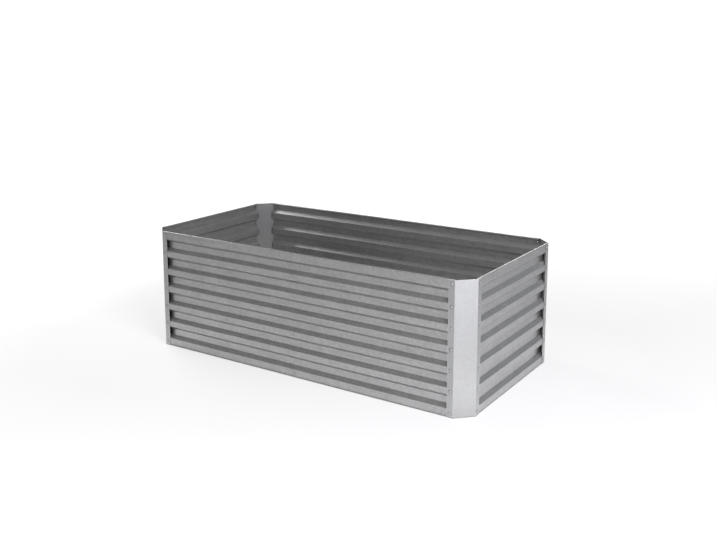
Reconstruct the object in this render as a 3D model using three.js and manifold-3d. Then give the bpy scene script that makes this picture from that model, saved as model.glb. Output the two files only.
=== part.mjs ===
// Raised garden bed: an open, bottomless box of ribbed steel sheet.
//
// Four folded corner posts stand at the corners.  Each end wall is one ribbed sheet and
// each long wall is two that lap in the middle.  Bolts and nuts join the sheets to the
// posts and to each other, and one tie rod holds the long walls together across the bed.
//
// Units are millimetres, +Z is up, the length runs along X, and the origin is the middle
// of the ground under the bed.

import * as THREE from 'three';
import { mergeVertices } from 'three/addons/utils/BufferGeometryUtils.js';
import Module from 'manifold-3d';

// ---- driving dimensions ------------------------------------------------------------

const LENGTH = 1830; // over the outer faces of the end posts' flanges
const WIDTH = 915; // over the front and back faces of the posts' flanges
const HEIGHT = 606; // ground to rim

const POST_SHEET = 1.0; // sheet thickness of a corner post
const POST_CORNER_CUT = 72.5; // how far the post's slanting face runs along each wall
const POST_FLANGE = 30; // width of each flange that laps over a wall
const POST_BEND_RADIUS = 4; // outside radius where the post is folded

const WALL_SHEET = 0.8; // sheet thickness of a ribbed wall
const WALL_END_GAP = 2; // between a wall's end and the fold of its post
const RIB_DEPTH = 18; // how far a groove lies behind the crests
const RIB_CREST = 29.5; // height of the flat on a crest
const RIB_GROOVE = 31.5; // height of the flat in a groove
const RIB_SLOPE = 16; // height of the slope between them
const SMALLEST_BAND = 35; // least height of the plain band above and below the ribs
const RIB_BEND_RADIUS = 4; // outside radius of the folds between flat and slope
const RIM_WIDTH = 10; // top edge, turned inwards
const RIM_LIP = 7; // and then turned down
const RIM_BEND_RADIUS = 2.5;
const FOOT_WIDTH = 10; // bottom edge, turned inwards to stand on
const SEAM_LAP = 40; // how much the two halves of a long wall lap

const BOLT_RADIUS = 3; // M6
const BOLT_HEAD_RADIUS = 6;
const BOLT_HEAD_HEIGHT = 3.6;
const BOLT_HEAD_EDGE = 0.8; // straight rim of the domed head
const BOLT_TAIL = 2.5; // thread that stands past the nut
const BOLT_POINT = 0.8; // bevel at the thread's end
const NUT_ACROSS_FLATS = 10;
const NUT_HEIGHT = 5;
const ROD_RADIUS = 3; // M6 threaded rod
const CAP_NUT_HEX = 3.5; // height of a cap nut's six-sided part
const CAP_NUT_HEIGHT = 7.5; // with its dome
const CAP_NUT_WALL = 1.5; // metal left over the blind end of its bore
const WASHER_RADIUS = 9;
const WASHER_THICKNESS = 1.2;

const SEAT_GAP = 0.3; // left between faces that touch
const THREAD_GAP = 0.3; // left all round a shank in its hole or nut

// ---- how finely round shapes are faceted ----------------------------------------------

const HOLE_SIDES = 8;
const SHANK_SIDES = 8;
const HEAD_ARC_STEPS = 3;
const POST_BEND_FACETS = 3;
const RIB_BEND_FACETS = 1;
const RIM_BEND_FACETS = 2;

// ---- worked out from them -----------------------------------------------------------

const wallFace = POST_SHEET + SEAT_GAP; // a wall's crests, measured in from a flange's face
const ribPitch = RIB_GROOVE + 2 * RIB_SLOPE + RIB_CREST;
const grooveCount = Math.floor((HEIGHT - 2 * SMALLEST_BAND + RIB_CREST) / ribPitch);
const bandHeight = (HEIGHT + RIB_CREST - grooveCount * ribPitch) / 2;
// One half of a long wall sits behind the other far enough to clear it on the slopes too.
const seamStepBack = (WALL_SHEET + SEAT_GAP) * Math.hypot(RIB_SLOPE, RIB_DEPTH) / RIB_SLOPE;
const seamNotch = RIM_LIP + 1; // the hidden half is cut this much lower under the rim
const flangeMiddle = POST_CORNER_CUT + POST_FLANGE / 2;
// A hole's flats, not its corners, clear the shank.
const holeRadius = (BOLT_RADIUS + THREAD_GAP) / Math.cos(Math.PI / HOLE_SIDES);
const rodHoleRadius = (ROD_RADIUS + THREAD_GAP) / Math.cos(Math.PI / HOLE_SIDES);

// Bolts sit in the middle of the bottom band, of each crest and of the top band.
const boltRows = [bandHeight / 2];
for (let crest = 1; crest < grooveCount; crest += 1) {
  boltRows.push(bandHeight + crest * ribPitch - RIB_CREST / 2);
}
boltRows.push(HEIGHT - bandHeight / 2);
const rodRow = boltRows[Math.floor(boltRows.length / 2)];
const endRows = { bottom: boltRows[0], top: boltRows[boltRows.length - 1] };

// ---- materials -------------------------------------------------------------------------

const paintedSteel = { color: 0x9da0a3, roughness: 0.45, metalness: 0.55 };
const platedSteel = { color: 0xb4b7ba, roughness: 0.35, metalness: 0.9 };

function named(name, geometry, finish) {
  const mesh = new THREE.Mesh(geometry, new THREE.MeshStandardMaterial(finish));
  mesh.name = name;
  return mesh;
}

// ---- solids that can be joined and cut ----------------------------------------------------

const wasm = await Module();
wasm.setup();

function toSolid(geometry) {
  const bare = geometry.clone();
  bare.deleteAttribute('normal');
  bare.deleteAttribute('uv');
  const merged = mergeVertices(bare);
  return new wasm.Manifold(new wasm.Mesh({
    numProp: 3,
    vertProperties: new Float32Array(merged.attributes.position.array),
    triVerts: new Uint32Array(merged.index.array),
  }));
}

function toGeometry(solid) {
  const mesh = solid.getMesh();
  const geometry = new THREE.BufferGeometry();
  geometry.setAttribute('position', new THREE.BufferAttribute(mesh.vertProperties, 3));
  geometry.setIndex(new THREE.BufferAttribute(mesh.triVerts, 1));
  geometry.computeVertexNormals();
  return geometry;
}

function cut(geometry, tools) {
  const solid = tools.reduce((left, tool) => left.subtract(toSolid(tool)), toSolid(geometry));
  return toGeometry(solid);
}

// A drill along Y, long enough to pass through a folded sheet at (x, z).
function drill(x, z, radius) {
  const bit = new THREE.CylinderGeometry(radius, radius, 2 * RIB_DEPTH, HOLE_SIDES);
  bit.rotateY(Math.PI / HOLE_SIDES);
  bit.translate(x, 0, z);
  return bit;
}

// ---- folded sheet ---------------------------------------------------------------------------

// Replaces the corners of a path by arcs.  Each point is [x, y, radius, facets].
function withBends(points) {
  const path = [];
  points.forEach(([x, y, radius, facets], i) => {
    const here = new THREE.Vector2(x, y);
    if (!radius) {
      path.push(here);
      return;
    }
    const toLast = new THREE.Vector2(...points[i - 1]).sub(here).normalize();
    const toNext = new THREE.Vector2(...points[i + 1]).sub(here).normalize();
    const half = Math.acos(toLast.dot(toNext)) / 2;
    const centre = toLast.clone().add(toNext).setLength(radius / Math.sin(half)).add(here);
    const start = here.clone().addScaledVector(toLast, radius / Math.tan(half)).sub(centre);
    const turn = Math.sign(toNext.cross(toLast)) * (Math.PI - 2 * half);
    for (let k = 0; k <= facets; k += 1) {
      const spoke = start.clone().rotateAround(new THREE.Vector2(), (turn * k) / facets);
      path.push(spoke.add(centre));
    }
  });
  return path;
}

// The outline of a sheet whose outer face follows the path, with its metal to the right.
function sheetShape(points, thickness) {
  const outer = withBends(points);
  const inner = outer.map((point, i) => {
    const before = point.clone().sub(outer[Math.max(i - 1, 0)]).normalize();
    const after = outer[Math.min(i + 1, outer.length - 1)].clone().sub(point).normalize();
    const along = before.clone().add(after).normalize();
    const edge = after.lengthSq() > 0 ? after : before;
    const right = new THREE.Vector2(along.y, -along.x);
    const mitre = thickness / right.dot(new THREE.Vector2(edge.y, -edge.x));
    return point.clone().addScaledVector(right, mitre);
  });
  return new THREE.Shape([...outer, ...inner.reverse()]);
}

// ---- corner posts -----------------------------------------------------------------------------

// A post seen from above: its corner of the bed is the origin, and the bed lies at +X, +Y.
function postGeometry() {
  const reach = POST_CORNER_CUT + POST_FLANGE;
  const shape = sheetShape([
    [reach, 0],
    [POST_CORNER_CUT, 0, POST_BEND_RADIUS, POST_BEND_FACETS],
    [0, POST_CORNER_CUT, POST_BEND_RADIUS, POST_BEND_FACETS],
    [0, reach],
  ], POST_SHEET);
  const post = new THREE.ExtrudeGeometry(shape, { depth: HEIGHT, bevelEnabled: false });
  const frontHoles = boltRows.map((z) => drill(flangeMiddle, z, holeRadius));
  const sideHoles = boltRows.map((z) => drill(-flangeMiddle, z, holeRadius).rotateZ(-Math.PI / 2));
  return cut(post, [...frontHoles, ...sideHoles]);
}

// ---- ribbed walls --------------------------------------------------------------------------------

// The folded section of a wall, from the foot up to the lip of the rim: x in, y up.
function wallShape() {
  const points = [
    [FOOT_WIDTH, 0],
    [0, 0, RIM_BEND_RADIUS, RIM_BEND_FACETS],
  ];
  for (let groove = 0; groove < grooveCount; groove += 1) {
    const low = bandHeight + groove * ribPitch;
    const high = low + 2 * RIB_SLOPE + RIB_GROOVE;
    points.push(
      [0, low, RIB_BEND_RADIUS, RIB_BEND_FACETS],
      [RIB_DEPTH, low + RIB_SLOPE, RIB_BEND_RADIUS, RIB_BEND_FACETS],
      [RIB_DEPTH, high - RIB_SLOPE, RIB_BEND_RADIUS, RIB_BEND_FACETS],
      [0, high, RIB_BEND_RADIUS, RIB_BEND_FACETS],
    );
  }
  points.push(
    [0, HEIGHT, RIM_BEND_RADIUS, RIM_BEND_FACETS],
    [RIM_WIDTH, HEIGHT, RIM_BEND_RADIUS, RIM_BEND_FACETS],
    [RIM_WIDTH, HEIGHT - RIM_LIP],
  );
  return sheetShape(points, WALL_SHEET);
}

// Runs the wall's section along X through stations of [x, how far it is sprung inwards].
function ribbedSheet(stations, tools) {
  const steps = stations.length - 1;
  const sheet = new THREE.ExtrudeGeometry(wallShape(), { depth: steps, steps, bevelEnabled: false });
  const position = sheet.attributes.position;
  for (let i = 0; i < position.count; i += 1) {
    const [x, inset] = stations[Math.round(position.getZ(i))];
    position.setXYZ(i, x, position.getX(i) + inset, position.getY(i));
  }
  return cut(sheet, tools);
}

function boltHoles(x) {
  return boltRows.map((z) => drill(x, z, holeRadius));
}

function seamHoles() {
  return boltRows.map((z) => drill(0, z, z === rodRow ? rodHoleRadius : holeRadius));
}

// One sheet from post to post.
function endWallGeometry(span) {
  const end = span / 2 - POST_CORNER_CUT - WALL_END_GAP;
  const boltX = span / 2 - flangeMiddle;
  return ribbedSheet([[-end, 0], [end, 0]], [...boltHoles(-boltX), ...boltHoles(boltX)]);
}

// The half of a long wall that shows at the seam.
function outerHalfGeometry(span) {
  const end = span / 2 - POST_CORNER_CUT - WALL_END_GAP;
  const stations = [[-SEAM_LAP / 2, 0], [end, 0]];
  return ribbedSheet(stations, [...boltHoles(span / 2 - flangeMiddle), ...seamHoles()]);
}

// The half that runs behind it, sprung inwards, with its rim and foot cut away at the lap.
function innerHalfGeometry(span) {
  const end = span / 2 - POST_CORNER_CUT - WALL_END_GAP;
  const freeFrom = span / 2 - POST_CORNER_CUT - POST_FLANGE;
  const lapFrom = -SEAM_LAP / 2 - SEAT_GAP;
  const stations = [
    [-end, 0],
    [-freeFrom, 0],
    [lapFrom, seamStepBack],
    [SEAM_LAP / 2, seamStepBack],
  ];
  const notches = [0, HEIGHT].map((z) => {
    const notch = new THREE.BoxGeometry(2 * SEAM_LAP, 4 * RIM_WIDTH, 2 * seamNotch);
    return notch.translate(lapFrom + SEAM_LAP, 0, z);
  });
  return ribbedSheet(stations, [...boltHoles(flangeMiddle - span / 2), ...seamHoles(), ...notches]);
}

// ---- fasteners: each lies along +Y, with the face it seats on at y = 0 ------------------------------

function boltGeometry(length) {
  const profile = [];
  const rise = BOLT_HEAD_HEIGHT - BOLT_HEAD_EDGE;
  for (let k = 0; k <= HEAD_ARC_STEPS; k += 1) {
    const angle = (Math.PI / 2) * (1 - k / HEAD_ARC_STEPS);
    const radius = k === 0 ? 0 : BOLT_HEAD_RADIUS * Math.cos(angle);
    profile.push(new THREE.Vector2(radius, -BOLT_HEAD_EDGE - rise * Math.sin(angle)));
  }
  profile.push(
    new THREE.Vector2(BOLT_HEAD_RADIUS, 0),
    new THREE.Vector2(BOLT_RADIUS, 0),
    new THREE.Vector2(BOLT_RADIUS, length - BOLT_POINT),
    new THREE.Vector2(BOLT_RADIUS - BOLT_POINT, length),
    new THREE.Vector2(0, length),
  );
  return new THREE.LatheGeometry(profile, SHANK_SIDES);
}

// A flat plate of the given outline, thick along Y, with a hole for a shank.
function drilledPlate(outline, thickness, radius) {
  const shape = new THREE.Shape(outline);
  const hole = new THREE.Path().absarc(0, 0, radius, 0, 2 * Math.PI);
  shape.holes.push(hole);
  const plate = new THREE.ExtrudeGeometry(shape, {
    depth: thickness,
    bevelEnabled: false,
    curveSegments: HOLE_SIDES,
  });
  return plate.rotateX(-Math.PI / 2);
}

function ring(radius, sides) {
  return Array.from({ length: sides }, (_, i) => {
    const angle = (2 * Math.PI * i) / sides;
    return new THREE.Vector2(radius * Math.cos(angle), radius * Math.sin(angle));
  });
}

const hexagon = ring(NUT_ACROSS_FLATS / Math.sqrt(3), 6);

// A closed nut: a hexagon with a dome on its outer side and a blind bore from the inner.
function capNutGeometry() {
  const hex = new THREE.ExtrudeGeometry(new THREE.Shape(hexagon), {
    depth: CAP_NUT_HEX,
    bevelEnabled: false,
  });
  hex.rotateX(Math.PI / 2);
  const profile = [new THREE.Vector2(0, -CAP_NUT_HEX / 2)];
  const domeRadius = NUT_ACROSS_FLATS / 2 - SEAT_GAP;
  profile.push(new THREE.Vector2(domeRadius, -CAP_NUT_HEX / 2));
  for (let k = 0; k <= HEAD_ARC_STEPS; k += 1) {
    const angle = (Math.PI / 2) * (k / HEAD_ARC_STEPS);
    const radius = k === HEAD_ARC_STEPS ? 0 : domeRadius * Math.cos(angle);
    const height = CAP_NUT_HEX + (CAP_NUT_HEIGHT - CAP_NUT_HEX) * Math.sin(angle);
    profile.push(new THREE.Vector2(radius, -height));
  }
  const dome = new THREE.LatheGeometry(profile.reverse(), 2 * SHANK_SIDES);
  const depth = CAP_NUT_HEIGHT - CAP_NUT_WALL;
  const bore = new THREE.CylinderGeometry(rodHoleRadius, rodHoleRadius, 2 * depth, HOLE_SIDES);
  return toGeometry(toSolid(hex).add(toSolid(dome)).subtract(toSolid(bore)));
}

// ---- assembly --------------------------------------------------------------------------------------

const bed = new THREE.Group();

// The corners in the order that quarter turns bring the first one to.
const corners = [
  ['front_left', -LENGTH / 2, -WIDTH / 2],
  ['front_right', LENGTH / 2, -WIDTH / 2],
  ['back_right', LENGTH / 2, WIDTH / 2],
  ['back_left', -LENGTH / 2, WIDTH / 2],
];
corners.forEach(([corner, x, y], quarter) => {
  const post = named(`corner_post_${corner}`, postGeometry(), paintedSteel);
  post.position.set(x, y, 0);
  post.rotation.z = (quarter * Math.PI) / 2;
  bed.add(post);
});

// A wall's own frame: X along it as seen from outside, Y inwards from the posts' faces.
function wallFrame(quarter, distance) {
  const wall = new THREE.Group();
  wall.rotation.z = (quarter * Math.PI) / 2;
  wall.position.set(Math.sin(wall.rotation.z) * distance, -Math.cos(wall.rotation.z) * distance, 0);
  bed.add(wall);
  return wall;
}

// A bolt from outside and its nut inside, at (x, z), through metal from y = face to y = back.
function addBolt(wall, place, x, z, face, back) {
  const seat = face - SEAT_GAP;
  const nutSeat = back + SEAT_GAP;
  const length = nutSeat + NUT_HEIGHT + BOLT_TAIL - seat;
  const bolt = named(`bolt_${place}`, boltGeometry(length), platedSteel);
  bolt.position.set(x, seat, z);
  const nutShape = drilledPlate(hexagon, NUT_HEIGHT, holeRadius);
  const nut = named(`nut_${place}`, nutShape, platedSteel);
  nut.position.set(x, nutSeat, z);
  wall.add(bolt, nut);
}

// Bolts through both flanges that lap over a wall, at its bottom and top rows.
function addFlangeBolts(wall, side, span, ends) {
  ends.forEach((end, i) => {
    const x = (i === 0 ? -1 : 1) * (span / 2 - flangeMiddle);
    Object.entries(endRows).forEach(([row, z]) => {
      addBolt(wall, `${side}_${end}_${row}`, x, z, 0, wallFace + WALL_SHEET);
    });
  });
}

const seamBack = wallFace + seamStepBack + WALL_SHEET; // inner face of the lap

['front', 'back'].forEach((side, i) => {
  const wall = wallFrame(2 * i, WIDTH / 2);
  const [first, second] = side === 'front' ? ['left', 'right'] : ['right', 'left'];
  const inner = named(`${side}_wall_${first}_half`, innerHalfGeometry(LENGTH), paintedSteel);
  const outer = named(`${side}_wall_${second}_half`, outerHalfGeometry(LENGTH), paintedSteel);
  inner.position.y = wallFace;
  outer.position.y = wallFace;
  wall.add(inner, outer);
  addFlangeBolts(wall, side, LENGTH, [first, second]);
  Object.entries(endRows).forEach(([row, z]) => {
    addBolt(wall, `${side}_seam_${row}`, 0, z, wallFace, seamBack);
  });

  const capNut = named(`tie_rod_cap_nut_${side}`, capNutGeometry(), platedSteel);
  capNut.position.set(0, wallFace - SEAT_GAP, rodRow);
  const washerShape = drilledPlate(ring(WASHER_RADIUS, 2 * SHANK_SIDES), WASHER_THICKNESS, rodHoleRadius);
  const washer = named(`tie_rod_washer_${side}`, washerShape, platedSteel);
  washer.position.set(0, seamBack + SEAT_GAP, rodRow);
  const nutShape = drilledPlate(hexagon, NUT_HEIGHT, rodHoleRadius);
  const nut = named(`tie_rod_nut_${side}`, nutShape, platedSteel);
  nut.position.set(0, washer.position.y + WASHER_THICKNESS + SEAT_GAP, rodRow);
  wall.add(capNut, washer, nut);
});

['right', 'left'].forEach((side, i) => {
  const wall = wallFrame(1 + 2 * i, LENGTH / 2);
  const sheet = named(`${side}_end_wall`, endWallGeometry(WIDTH), paintedSteel);
  sheet.position.y = wallFace;
  wall.add(sheet);
  addFlangeBolts(wall, side, WIDTH, side === 'right' ? ['front', 'back'] : ['back', 'front']);
});

// The rod ends just short of the blind ends of its two cap nuts.
const rodReach = WIDTH / 2 - wallFace + SEAT_GAP + CAP_NUT_HEIGHT - CAP_NUT_WALL - SEAT_GAP;
const rodShape = new THREE.CylinderGeometry(ROD_RADIUS, ROD_RADIUS, 2 * rodReach, SHANK_SIDES);
const rod = named('tie_rod', rodShape, platedSteel);
rod.position.z = rodRow;
bed.add(rod);

export default bed;
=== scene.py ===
# %% [markdown]
# # A raised garden bed of ribbed steel
#
# The bed is an open box without a bottom.  Folded corner posts with a slanting face stand
# at its corners, ribbed sheets run between them, and small bolts hold everything together.
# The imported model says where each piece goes.  Here every piece is modelled again at the
# same place with real folds, threads and edges, and gets its finish.

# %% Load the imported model
from math import atan2, cos, hypot, pi, radians, sin, sqrt, tan

import bmesh
import bpy
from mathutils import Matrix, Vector


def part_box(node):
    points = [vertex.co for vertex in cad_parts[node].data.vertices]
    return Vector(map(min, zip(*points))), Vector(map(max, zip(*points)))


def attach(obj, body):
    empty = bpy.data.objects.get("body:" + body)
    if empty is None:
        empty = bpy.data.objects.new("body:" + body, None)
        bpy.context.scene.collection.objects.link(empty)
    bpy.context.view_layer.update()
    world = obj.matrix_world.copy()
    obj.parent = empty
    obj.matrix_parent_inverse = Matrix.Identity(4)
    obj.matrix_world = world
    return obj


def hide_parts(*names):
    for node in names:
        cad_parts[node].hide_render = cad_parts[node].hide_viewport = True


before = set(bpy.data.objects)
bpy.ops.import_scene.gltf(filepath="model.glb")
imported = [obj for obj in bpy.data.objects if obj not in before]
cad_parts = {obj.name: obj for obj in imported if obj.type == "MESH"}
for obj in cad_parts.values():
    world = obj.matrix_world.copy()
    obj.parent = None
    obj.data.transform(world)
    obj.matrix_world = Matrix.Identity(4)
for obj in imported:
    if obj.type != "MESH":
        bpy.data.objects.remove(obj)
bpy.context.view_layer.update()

# %% [markdown]
# ## Camera
#
# The bed is seen from its front right corner, from above the rim.  The place and the lens
# were worked out from the perspective of the long and the short wall.  A camera that looks
# down makes upright edges lean, so it is tilted only a little and its picture is shifted
# down instead, as a product photographer does it with a shift lens.

# %% Camera
CAMERA_PLACE = (2.496, -3.701, 1.629)
CAMERA_TILT = 9.71  # degrees downwards
CAMERA_TURN = 33.34  # degrees to the left of straight ahead
CAMERA_LENS = 45.52
CAMERA_SHIFT = -0.12

bpy.ops.object.select_all(action="DESELECT")
bpy.ops.object.camera_add(
    location=CAMERA_PLACE, rotation=(radians(90 - CAMERA_TILT), 0, radians(CAMERA_TURN))
)
camera = bpy.context.object
camera.data.lens = CAMERA_LENS
camera.data.shift_y = CAMERA_SHIFT
bpy.context.scene.camera = camera
print("Camera at", [round(value, 2) for value in camera.location], "m")

# %% [markdown]
# ## Sizes
#
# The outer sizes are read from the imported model, so that nothing drifts.  The ones that a
# box can't tell, such as the ribs and the gauges, are written down in metres where a piece
# first needs them.  The places of the bolts follow from the ribs, because a bolt has to sit
# on a flat crest.

# %% Size of the bed and its flanges
post_low, post_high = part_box("corner_post_front_right")
HALF_LENGTH = post_high.x
HALF_WIDTH = -post_low.y
HEIGHT = post_high.z
POST_REACH = post_high.x - post_low.x  # along each wall, flange included
POST_CUT = 0.0725  # how far the slanting face runs along each wall

flange_middle = (POST_CUT + POST_REACH) / 2
print("The flanges' middles are", round(flange_middle, 4), "m from the corners")

# %% Rows of ribs and bolts
RIB_DEPTH = 0.018
RIB_CREST = 0.0295
RIB_GROOVE = 0.0315
RIB_SLOPE = 0.016
SMALLEST_BAND = 0.035  # of flat sheet over and under the grooves

rib_pitch = RIB_GROOVE + 2 * RIB_SLOPE + RIB_CREST
groove_count = int((HEIGHT - 2 * SMALLEST_BAND + RIB_CREST) / rib_pitch)
band = (HEIGHT + RIB_CREST - groove_count * rib_pitch) / 2
groove_feet = [band + groove * rib_pitch for groove in range(groove_count)]
bolt_rows = [band / 2]
bolt_rows += [foot - RIB_CREST / 2 for foot in groove_feet[1:]]
bolt_rows += [HEIGHT - band / 2]
rod_row = bolt_rows[len(bolt_rows) // 2]
print(groove_count, "grooves; bolts at", [round(z, 4) for z in bolt_rows])

# %% [markdown]
# ## A few helpers
#
# An operator works on whatever is selected, so each helper first makes sure what that is.
# Faces and edges are picked by a question about where they lie, never by their number,
# because the numbers change with every cut.


# %% Starting a piece
def only(piece):
    """Selects one piece and makes it the active one."""
    if bpy.context.mode != "OBJECT":
        bpy.ops.object.mode_set(mode="OBJECT")
    bpy.ops.object.select_all(action="DESELECT")
    piece.select_set(True)
    bpy.context.view_layer.objects.active = piece


def fresh(name, add, **size):
    """Adds a primitive as a new piece."""
    bpy.ops.object.select_all(action="DESELECT")
    add(**size)
    piece = bpy.context.object
    piece.name = piece.data.name = name
    return piece


def settle(piece):
    """Moves a piece's place, turn and scale into its mesh."""
    only(piece)
    bpy.ops.object.transform_apply(location=True, rotation=True, scale=True)
    return piece


def copy_of(piece, name, location, rotation):
    """A copy with its own mesh, settled at another place."""
    only(piece)
    bpy.ops.object.duplicate()
    twin = bpy.context.object
    twin.name = twin.data.name = name
    twin.location = location
    twin.rotation_euler = rotation
    return settle(twin)


def joined(name, parts):
    """Makes one piece of several."""
    only(parts[0])
    for part in parts:
        part.select_set(True)
    bpy.ops.object.join()
    parts[0].name = parts[0].data.name = name
    return parts[0]


def discard(*pieces):
    """Removes patterns and cutters that are used up."""
    for piece in pieces:
        bpy.data.objects.remove(piece)


# %% Picking and pulling in edit mode
SAME_PLACE = 0.00001


def start_editing(piece):
    """Takes one piece alone into edit mode."""
    only(piece)
    bpy.ops.object.mode_set(mode="EDIT")


def stop_editing():
    """Goes back to object mode."""
    bpy.ops.object.mode_set(mode="OBJECT")


def pick_all():
    """Selects the whole piece in edit mode."""
    bpy.ops.mesh.select_all(action="SELECT")


def near(a, b):
    """Whether two measures are the same, give or take a rounding error."""
    return abs(a - b) < SAME_PLACE


def lies_at(item, axis, place):
    """Whether every point of an edge or a face has that place on the x, y or z axis."""
    return all(near(point.co["xyz".index(axis)], place) for point in item.verts)


def pick(piece, kind, wanted):
    """Selects only the VERT, EDGE or FACE items that wanted() says yes to."""
    bpy.ops.mesh.select_mode(type=kind)
    bpy.ops.mesh.select_all(action="DESELECT")
    mesh = bmesh.from_edit_mesh(piece.data)
    items = {"VERT": mesh.verts, "EDGE": mesh.edges, "FACE": mesh.faces}[kind]
    found = [item for item in items if wanted(item)]
    for item in found:
        item.select_set(True)
    mesh.select_flush_mode()
    bmesh.update_edit_mesh(piece.data)
    return len(found)


def extrude(x, y, z):
    """Pulls new faces out of what is picked, by that much."""
    bpy.ops.mesh.extrude_region_move(TRANSFORM_OT_translate={"value": (x, y, z)})


def round_picked(radius, turn, segments):
    """Rounds the picked folds.  An arc that turns by an angle starts radius * tan(half of
    that angle) before the fold."""
    bpy.ops.mesh.bevel(offset=radius * tan(turn / 2), segments=segments, affect="EDGES")


# %% Finishing a piece
SLIVER = 0.000005  # points closer than this were meant to be one


def finish_with(piece, kind, **settings):
    """Adds one modifier and applies it."""
    only(piece)
    modifier = piece.modifiers.new(kind.lower(), kind)
    for setting, value in settings.items():
        setattr(modifier, setting, value)
    bpy.ops.object.modifier_apply(modifier=modifier.name)


def outward(piece):
    """Merges what a cut left too close together and turns every face to the outside."""
    start_editing(piece)
    pick_all()
    bpy.ops.mesh.remove_doubles(threshold=SLIVER)
    bpy.ops.mesh.dissolve_degenerate(threshold=SLIVER)
    bpy.ops.mesh.normals_make_consistent(inside=False)
    if bmesh.from_edit_mesh(piece.data).calc_volume(signed=True) < 0:
        bpy.ops.mesh.flip_normals()
    stop_editing()


def carve(piece, cutter, operation="DIFFERENCE"):
    """Cuts, joins or trims a piece with another closed shape, which is used up."""
    finish_with(piece, "BOOLEAN", operation=operation, object=cutter, solver="EXACT")
    discard(cutter)
    outward(piece)


def smooth(piece, angle=35):
    """Smooth shading that keeps flats flat and the folds round."""
    only(piece)
    bpy.ops.object.shade_smooth_by_angle(angle=radians(angle))
    finish_with(piece, "WEIGHTED_NORMAL", weight=90, keep_sharp=True)


# %% [markdown]
# They could be dark dots in the finish, but the edge of a real hole shows next to a nut,
# so round bars are cut out of the sheet.

# %% Drilling
HOLE_RADIUS = 0.0033
DRILL_LENGTH = 0.030


def holes_at(x, rows):
    """Places for holes up one line of a sheet that stands in the XZ plane."""
    return [(x, 0, z) for z in rows]


def drill(piece, places, along="Y"):
    """Cuts a round hole along Y or X at each (x, y, z) place."""
    turn = (pi / 2, 0, 0) if along == "Y" else (0, pi / 2, 0)
    bars = [
        fresh(
            "bar", bpy.ops.mesh.primitive_cylinder_add, vertices=20, radius=HOLE_RADIUS,
            depth=DRILL_LENGTH, location=place, rotation=turn,
        )
        for place in places
    ]
    carve(piece, settle(joined("bars", bars)))


# %% [markdown]
# ## Ribbed walls
#
# A real wall starts as a flat sheet.  A roll former presses the grooves into it, and a
# brake folds the top edge in and down to a blunt rim and the bottom edge to a foot.  The
# model takes the same way: a standing plane is cut along every fold line, the groove
# strips are pushed in, the edges are extruded, and the folds are rounded before the sheet
# gets its thickness.  Loose cross-sections lofted by hand would be harder to change.

# %% A flat sheet and its gauge
def standing_sheet(name, x_from, x_to):
    """A flat sheet on edge in the XZ plane, as high as the bed."""
    sheet = fresh(
        name, bpy.ops.mesh.primitive_plane_add, size=1,
        location=((x_from + x_to) / 2, 0, HEIGHT / 2), rotation=(pi / 2, 0, 0),
    )
    sheet.scale = (x_to - x_from, HEIGHT, 1)
    return settle(sheet)


def thicken(sheet, thickness, edge):
    """Gives a folded surface its gauge, inwards, and breaks its cut edges."""
    finish_with(sheet, "SOLIDIFY", thickness=thickness, offset=-1, use_even_offset=True)
    finish_with(
        sheet, "BEVEL", width=edge, segments=2, limit_method="ANGLE",
        angle_limit=radians(60), harden_normals=False,
    )


# %% Press the grooves
fold_lines = [
    foot + up
    for foot in groove_feet
    for up in (0, RIB_SLOPE, RIB_SLOPE + RIB_GROOVE, 2 * RIB_SLOPE + RIB_GROOVE)
]
groove_middles = [foot + RIB_SLOPE + RIB_GROOVE / 2 for foot in groove_feet]


def is_groove_floor(face):
    """Whether a face is the flat floor of a groove."""
    return any(near(face.calc_center_median().z, middle) for middle in groove_middles)


def press_grooves(sheet):
    """Cuts a flat sheet along its fold lines and pushes the grooves' floors in."""
    for fold in fold_lines:
        pick_all()
        bpy.ops.mesh.bisect(plane_co=(0, 0, fold), plane_no=(0, 0, 1))
    pick(sheet, "FACE", is_groove_floor)
    bpy.ops.transform.translate(value=(0, RIB_DEPTH, 0))


print(len(fold_lines), "fold lines in every wall")

# %% Turn in the rim and the foot
RIM_WIDTH = 0.010
RIM_LIP = 0.007


def turn_in_edges(sheet):
    """Folds the top edge in and down, and the bottom edge in."""
    pick(sheet, "EDGE", lambda edge: lies_at(edge, "z", HEIGHT))
    extrude(0, RIM_WIDTH, 0)
    extrude(0, 0, -RIM_LIP)
    pick(sheet, "EDGE", lambda edge: lies_at(edge, "z", 0))
    extrude(0, RIM_WIDTH, 0)


# %% Round the folds
RIB_BEND = 0.0025
RIM_BEND = 0.0025

slope_angle = atan2(RIB_DEPTH, RIB_SLOPE)


def is_rib_fold(edge):
    """Whether an edge runs along a fold line."""
    return any(lies_at(edge, "z", fold) for fold in fold_lines)


def is_rim_or_foot_fold(edge):
    """Whether an edge is a fold at the very top or bottom, and not a cut edge."""
    return edge.is_manifold and (lies_at(edge, "z", 0) or lies_at(edge, "z", HEIGHT))


def round_folds(sheet):
    """Gives every fold of a wall its bend."""
    pick(sheet, "EDGE", is_rib_fold)
    round_picked(RIB_BEND, slope_angle, segments=5)
    pick(sheet, "EDGE", is_rim_or_foot_fold)
    round_picked(RIM_BEND, pi / 2, segments=6)


def ribbed_sheet(name, x_from, x_to):
    """A folded surface in its wall's own frame: X along it, Y into the bed, Z up."""
    sheet = standing_sheet(name, x_from, x_to)
    start_editing(sheet)
    press_grooves(sheet)
    turn_in_edges(sheet)
    round_folds(sheet)
    stop_editing()
    return sheet


# %% End sheet and outer half of a long wall
WALL_SHEET = 0.0008
WALL_EDGE = 0.00012
WALL_END_GAP = 0.002
SEAM_LAP = 0.040

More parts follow.
